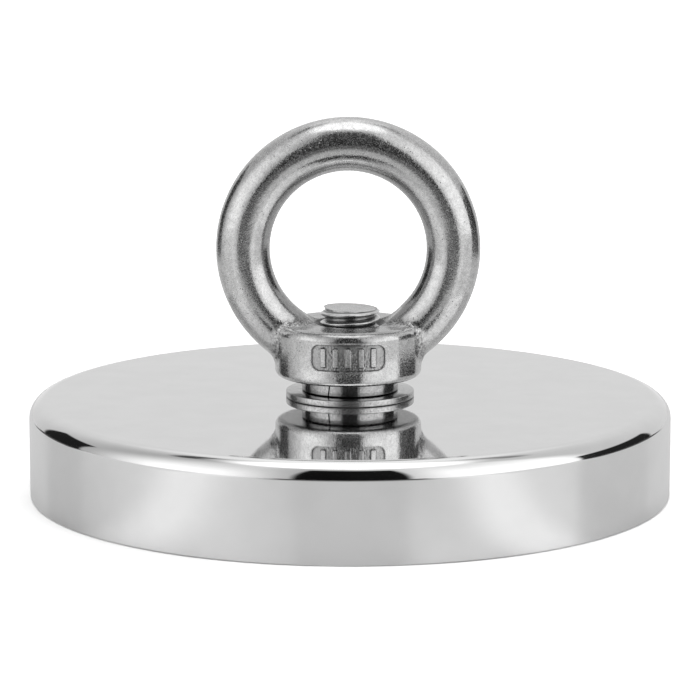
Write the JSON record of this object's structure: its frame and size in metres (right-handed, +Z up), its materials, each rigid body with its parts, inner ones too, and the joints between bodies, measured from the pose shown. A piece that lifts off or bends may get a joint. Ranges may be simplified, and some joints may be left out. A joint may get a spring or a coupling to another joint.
{
  "type": "fishing magnet",
  "caption": "Round single-sided pot magnet with a bright plated steel pot, a ring of potted magnets underneath, and a threaded eye nut on a stud above for a rope or hook.",
  "frame": {"origin": "centre of the pot's underside, on the screw's axis, in the plane that meets the steel being lifted", "axes": "+Z up along the screw, from the magnet face to the eye ring; the ring stands in the XZ plane, so a rope passes through it along Y; -Y is the front, with the recessed pad"},
  "size_m": [0.12, 0.12, 0.0705],
  "materials": {
    "nickel_plate": "mirror-bright nickel plate on turned steel",
    "magnet_nickel": "dull nickel plate on sintered magnet",
    "potting_resin": "black epoxy potting",
    "bush_aluminium": "turned",
    "screw_steel": "rolled thread, stainless",
    "washer_steel": "bright stainless",
    "cast_stainless": "cast and polished stainless"
  },
  "bodies": {
    "magnet_body": {"steel_pot": "nickel_plate", "magnet_segment_1": "magnet_nickel", "magnet_segment_2": "magnet_nickel", "magnet_segment_3": "magnet_nickel", "magnet_segment_4": "magnet_nickel", "magnet_segment_5": "magnet_nickel", "magnet_segment_6": "magnet_nickel", "magnet_segment_7": "magnet_nickel", "magnet_segment_8": "magnet_nickel", "resin_bond_layer": "potting_resin", "resin_outer_ring": "potting_resin", "resin_inner_ring": "potting_resin", "centre_bush": "bush_aluminium", "flat_washer": "washer_steel", "lock_washer": "washer_steel"},
    "screw": {"countersunk_screw": "screw_steel"},
    "eye_nut": {"eye_nut": "cast_stainless"}
  },
  "joints": [
    {"name": "eye_nut_climb", "type": "slide", "parent": "magnet_body", "child": "eye_nut", "axis": [0, 0, 1], "range_m": [0, 0.01286]},
    {"name": "screw_turn", "type": "hinge", "parent": "magnet_body", "child": "screw", "pos_m": [0, 0, 0], "axis": [0, 0, -1], "range_deg": [0, 2647]}
  ],
  "couplings": [
    {"joint": "screw_turn", "follows": "eye_nut_climb", "rad_per_m": 3590.4}
  ]
}
